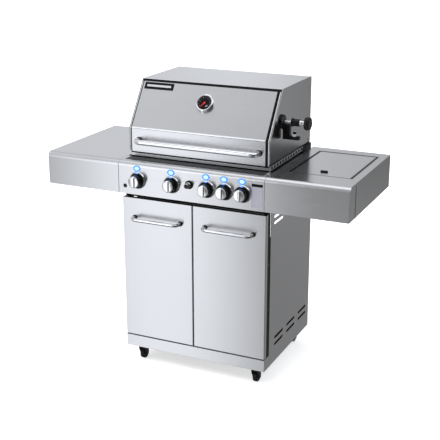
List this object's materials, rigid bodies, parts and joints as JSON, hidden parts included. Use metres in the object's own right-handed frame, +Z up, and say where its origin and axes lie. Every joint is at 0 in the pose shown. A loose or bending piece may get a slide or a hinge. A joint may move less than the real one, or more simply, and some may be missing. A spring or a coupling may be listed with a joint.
{
  "type": "gas barbecue grill",
  "caption": "Gas barbecue grill on a cabinet with doors and casters, with side shelves, a flush side burner, lit control knobs and a hinged hood with a thermometer and a spit fitting.",
  "frame": {"origin": "on the floor, at the middle of the outer box's bottom face", "axes": "+X to the right as seen by the cook facing the doors, along the shelves; +Y to the back; +Z up"},
  "size_m": [1.32, 0.592, 1.209],
  "materials": {
    "brushed_steel": "horizontally brushed stainless sheet, satin",
    "inner_steel": "plain mill-finish sheet, dull",
    "black_enamel": "black vitreous enamel, semi-gloss",
    "cast_iron": "seasoned, matte",
    "chrome": "bright polished plating",
    "brass": "turned",
    "grey_button": "silvered push cap",
    "black_plastic": "fine satin texture",
    "red_needle": "red enamel",
    "caster_black": "moulded nylon, satin",
    "led_lens": "clear blue lens, lit from behind, emissive",
    "dial_black": "printed dial face with plain marks",
    "plain_plate": "blank plate with no lettering"
  },
  "bodies": {
    "root": {"base_panel": "inner_steel", "back_panel": "brushed_steel", "left_side_panel": "brushed_steel", "right_side_panel": "brushed_steel", "lower_front_rail": "brushed_steel", "cabinet_frame": "black_enamel", "control_panel": "brushed_steel", "gas_manifold": "brass", "firebox": "black_enamel", "burner_1": "inner_steel", "burner_2": "inner_steel", "burner_3": "inner_steel", "burner_4": "inner_steel", "flame_tamers": "inner_steel", "left_grate": "cast_iron", "right_grate": "cast_iron", "warming_rack": "chrome", "left_shelf": "brushed_steel", "right_shelf": "brushed_steel", "side_burner": "black_enamel", "side_burner_grate": "cast_iron", "burner_1_bezel": "chrome", "burner_2_bezel": "chrome", "burner_3_bezel": "chrome", "burner_4_bezel": "chrome", "side_burner_bezel": "chrome"},
    "lid": {"lid_hood": "brushed_steel", "lid_left_end": "brushed_steel", "lid_right_end": "brushed_steel", "lid_handle": "chrome", "gauge_housing": "chrome", "spit_bracket": "black_plastic"},
    "gauge_pointer": {"gauge_needle": "red_needle"},
    "spindle": {"spit_spindle": "black_plastic"},
    "left_door": {"left_door": "brushed_steel", "left_door_handle": "chrome"},
    "right_door": {"right_door": "brushed_steel", "right_door_handle": "chrome"},
    "drip_tray": {"drip_tray": "inner_steel"},
    "side_burner_lid": {"side_burner_lid": "brushed_steel"},
    "igniter_button": {"igniter_button": "grey_button"},
    "light_button": {"light_button": "black_plastic"},
    "burner_1_valve_stem": {"burner_1_valve_stem": "brass"},
    "burner_1_knob": {"burner_1_knob": "chrome"},
    "burner_2_valve_stem": {"burner_2_valve_stem": "brass"},
    "burner_2_knob": {"burner_2_knob": "chrome"},
    "burner_3_valve_stem": {"burner_3_valve_stem": "brass"},
    "burner_3_knob": {"burner_3_knob": "chrome"},
    "burner_4_valve_stem": {"burner_4_valve_stem": "brass"},
    "burner_4_knob": {"burner_4_knob": "chrome"},
    "side_burner_valve_stem": {"side_burner_valve_stem": "brass"},
    "side_burner_knob": {"side_burner_knob": "chrome"},
    "front_left_caster_fork": {"front_left_caster_fork": "caster_black"},
    "front_left_caster_wheel": {"front_left_caster_wheel": "caster_black"},
    "front_right_caster_fork": {"front_right_caster_fork": "caster_black"},
    "front_right_caster_wheel": {"front_right_caster_wheel": "caster_black"},
    "rear_left_caster_fork": {"rear_left_caster_fork": "caster_black"},
    "rear_left_caster_wheel": {"rear_left_caster_wheel": "caster_black"},
    "rear_right_caster_fork": {"rear_right_caster_fork": "caster_black"},
    "rear_right_caster_wheel": {"rear_right_caster_wheel": "caster_black"}
  },
  "joints": [
    {"name": "lid_hinge", "type": "hinge", "parent": "root", "child": "lid", "pos_m": [0, 0.258, 0.946], "axis": [-1, 0, 0], "range_deg": [0, 85]},
    {"name": "gauge_pointer_turn", "type": "hinge", "parent": "lid", "child": "gauge_pointer", "pos_m": [0, -0.09901, 1.136], "axis": [0, 0.825, -0.5652], "range_deg": [0, 250], "stiffness_Nm_per_rad": 0.004},
    {"name": "spindle_turn", "type": "hinge", "parent": "lid", "child": "spindle", "pos_m": [0.31, -0.052, 1.084], "axis": [1, 0, 0], "continuous": true},
    {"name": "left_door_hinge", "type": "hinge", "parent": "root", "child": "left_door", "pos_m": [-0.316, -0.209, 0.438], "axis": [0, 0, -1], "range_deg": [0, 110]},
    {"name": "right_door_hinge", "type": "hinge", "parent": "root", "child": "right_door", "pos_m": [0.316, -0.209, 0.438], "axis": [0, 0, 1], "range_deg": [0, 110]},
    {"name": "drip_tray_slide", "type": "slide", "parent": "root", "child": "drip_tray", "axis": [0, 1, 0], "range_m": [0, 0.3]},
    {"name": "side_burner_lid_hinge", "type": "hinge", "parent": "root", "child": "side_burner_lid", "pos_m": [0.6186, 0.0545, 0.9054], "axis": [0, 1, 0], "range_deg": [0, 95]},
    {"name": "igniter_push", "type": "slide", "parent": "root", "child": "igniter_button", "axis": [0, 1, 0], "range_m": [0, 0.005], "stiffness_N_per_m": 500},
    {"name": "light_button_push", "type": "slide", "parent": "root", "child": "light_button", "axis": [0, 1, 0], "range_m": [0, 0.002], "stiffness_N_per_m": 500},
    {"name": "burner_1_knob_push", "type": "slide", "parent": "root", "child": "burner_1_valve_stem", "axis": [0, 1, 0], "range_m": [0, 0.004], "stiffness_N_per_m": 800},
    {"name": "burner_1_knob_turn", "type": "hinge", "parent": "burner_1_valve_stem", "child": "burner_1_knob", "pos_m": [-0.231, -0.27, 0.832], "axis": [0, -1, 0], "range_deg": [0, 180]},
    {"name": "burner_2_knob_push", "type": "slide", "parent": "root", "child": "burner_2_valve_stem", "axis": [0, 1, 0], "range_m": [0, 0.004], "stiffness_N_per_m": 800},
    {"name": "burner_2_knob_turn", "type": "hinge", "parent": "burner_2_valve_stem", "child": "burner_2_knob", "pos_m": [-0.077, -0.27, 0.832], "axis": [0, -1, 0], "range_deg": [0, 180]},
    {"name": "burner_3_knob_push", "type": "slide", "parent": "root", "child": "burner_3_valve_stem", "axis": [0, 1, 0], "range_m": [0, 0.004], "stiffness_N_per_m": 800},
    {"name": "burner_3_knob_turn", "type": "hinge", "parent": "burner_3_valve_stem", "child": "burner_3_knob", "pos_m": [0.077, -0.27, 0.832], "axis": [0, -1, 0], "range_deg": [0, 180]},
    {"name": "burner_4_knob_push", "type": "slide", "parent": "root", "child": "burner_4_valve_stem", "axis": [0, 1, 0], "range_m": [0, 0.004], "stiffness_N_per_m": 800},
    {"name": "burner_4_knob_turn", "type": "hinge", "parent": "burner_4_valve_stem", "child": "burner_4_knob", "pos_m": [0.231, -0.27, 0.832], "axis": [0, -1, 0], "range_deg": [0, 180]},
    {"name": "side_burner_knob_push", "type": "slide", "parent": "root", "child": "side_burner_valve_stem", "axis": [0, 1, 0], "range_m": [0, 0.004], "stiffness_N_per_m": 800},
    {"name": "side_burner_knob_turn", "type": "hinge", "parent": "side_burner_valve_stem", "child": "side_burner_knob", "pos_m": [0.154, -0.27, 0.832], "axis": [0, -1, 0], "range_deg": [0, 180]},
    {"name": "front_left_caster_swivel", "type": "hinge", "parent": "root", "child": "front_left_caster_fork", "pos_m": [-0.266, -0.185, 0.065], "axis": [0, 0, 1], "continuous": true},
    {"name": "front_left_wheel_spin", "type": "hinge", "parent": "front_left_caster_fork", "child": "front_left_caster_wheel", "pos_m": [-0.266, -0.171, 0.024], "axis": [1, 0, 0], "continuous": true},
    {"name": "front_right_caster_swivel", "type": "hinge", "parent": "root", "child": "front_right_caster_fork", "pos_m": [0.266, -0.185, 0.065], "axis": [0, 0, 1], "continuous": true},
    {"name": "front_right_wheel_spin", "type": "hinge", "parent": "front_right_caster_fork", "child": "front_right_caster_wheel", "pos_m": [0.266, -0.171, 0.024], "axis": [1, 0, 0], "continuous": true},
    {"name": "rear_left_caster_swivel", "type": "hinge", "parent": "root", "child": "rear_left_caster_fork", "pos_m": [-0.266, 0.24, 0.065], "axis": [0, 0, 1], "continuous": true},
    {"name": "rear_left_wheel_spin", "type": "hinge", "parent": "rear_left_caster_fork", "child": "rear_left_caster_wheel", "pos_m": [-0.266, 0.254, 0.024], "axis": [1, 0, 0], "continuous": true},
    {"name": "rear_right_caster_swivel", "type": "hinge", "parent": "root", "child": "rear_right_caster_fork", "pos_m": [0.266, 0.24, 0.065], "axis": [0, 0, 1], "continuous": true},
    {"name": "rear_right_wheel_spin", "type": "hinge", "parent": "rear_right_caster_fork", "child": "rear_right_caster_wheel", "pos_m": [0.266, 0.254, 0.024], "axis": [1, 0, 0], "continuous": true}
  ]
}
